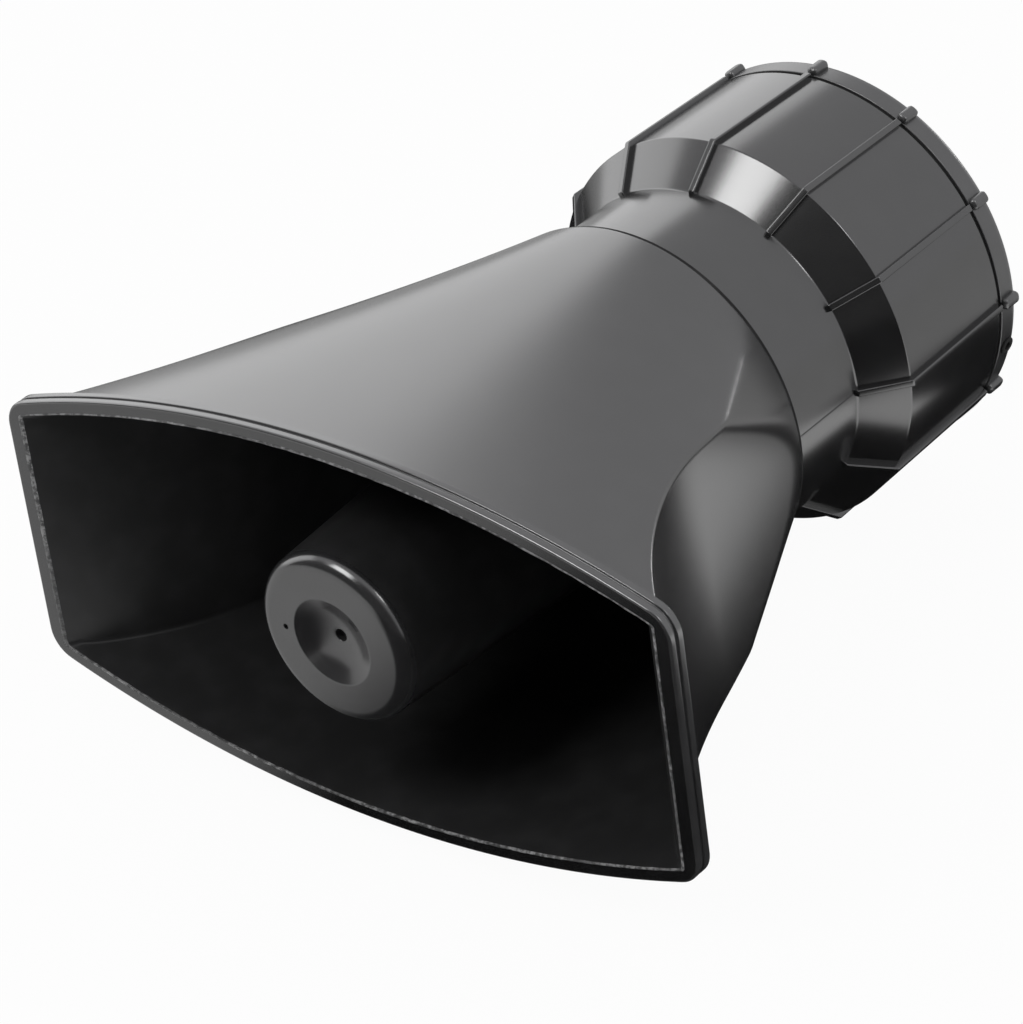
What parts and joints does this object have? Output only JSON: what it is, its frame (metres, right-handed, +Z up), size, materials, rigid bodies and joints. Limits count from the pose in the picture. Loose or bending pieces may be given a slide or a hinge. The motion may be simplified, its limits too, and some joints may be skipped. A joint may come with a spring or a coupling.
{
  "type": "megaphone horn loudspeaker",
  "caption": "Compact re-entrant horn loudspeaker with a wide bowed mouth, an inner reflector, a ribbed round driver housing and a rear cover with a threaded mount.",
  "frame": {"origin": "centre of the bracket insert's mouth in the seat of the rear boss, on the horn's axis", "axes": "+Y along the horn's axis out of the rear boss, so the mouth faces -Y; +Z up, across the mouth's short way; +X along the mouth's long way, to the right seen from in front of the mouth"},
  "size_m": [0.164, 0.1718, 0.0902],
  "materials": {
    "bell_plastic": "gloss black, light moulding waviness",
    "reflector_plastic": "satin black with a turned dish",
    "tube_plastic": "satin black",
    "housing_plastic": "gloss black",
    "cover_plastic": "fine grained black",
    "seal_rubber": "matt",
    "grommet_rubber": "matt",
    "insert_brass": "turned, knurled outside",
    "plate_aluminium": "die cast and machined",
    "plug_plastic": "moulded black",
    "dome_film": "formed phenolic cloth",
    "surround_film": "formed film",
    "former_film": "amber film",
    "coil_copper": "enamelled winding",
    "clamp_plastic": "moulded black",
    "magnet_steel": "zinc plated, turned",
    "ferrite": "ground ferrite",
    "pad_foam": "foam rubber",
    "board_phenolic": "phenolic board",
    "tinned_tab": "tinned",
    "zinc_steel": "bright zinc",
    "black_steel": "black zinc"
  },
  "bodies": {
    "housing": {"bell": "bell_plastic", "bell_seal": "seal_rubber", "reflector": "reflector_plastic", "throat_tube": "tube_plastic", "throat_seal": "seal_rubber", "driver_housing": "housing_plastic", "rear_cover": "cover_plastic", "cover_gasket": "seal_rubber", "cable_grommet": "grommet_rubber", "bracket_insert": "insert_brass", "driver_front_plate": "plate_aluminium", "phase_plug": "plug_plastic", "diaphragm_surround": "surround_film", "clamp_ring": "clamp_plastic", "top_plate": "magnet_steel", "magnet_ring": "ferrite", "back_plate": "magnet_steel", "magnet_pad": "pad_foam", "terminal_board": "board_phenolic", "terminal_lugs": "tinned_tab", "terminal_rivets": "tinned_tab", "board_screw": "zinc_steel", "bell_screws": "zinc_steel", "driver_mount_screws": "zinc_steel", "clamp_screws": "zinc_steel", "cover_screws": "black_steel"},
    "diaphragm": {"diaphragm_dome": "dome_film", "coil_former": "former_film", "voice_coil": "coil_copper"}
  },
  "joints": [
    {"name": "diaphragm_travel", "type": "slide", "parent": "housing", "child": "diaphragm", "axis": [0, 1, 0], "range_m": [-0.0004, 0.0004], "stiffness_N_per_m": 500, "deforming": ["diaphragm_surround"]}
  ]
}
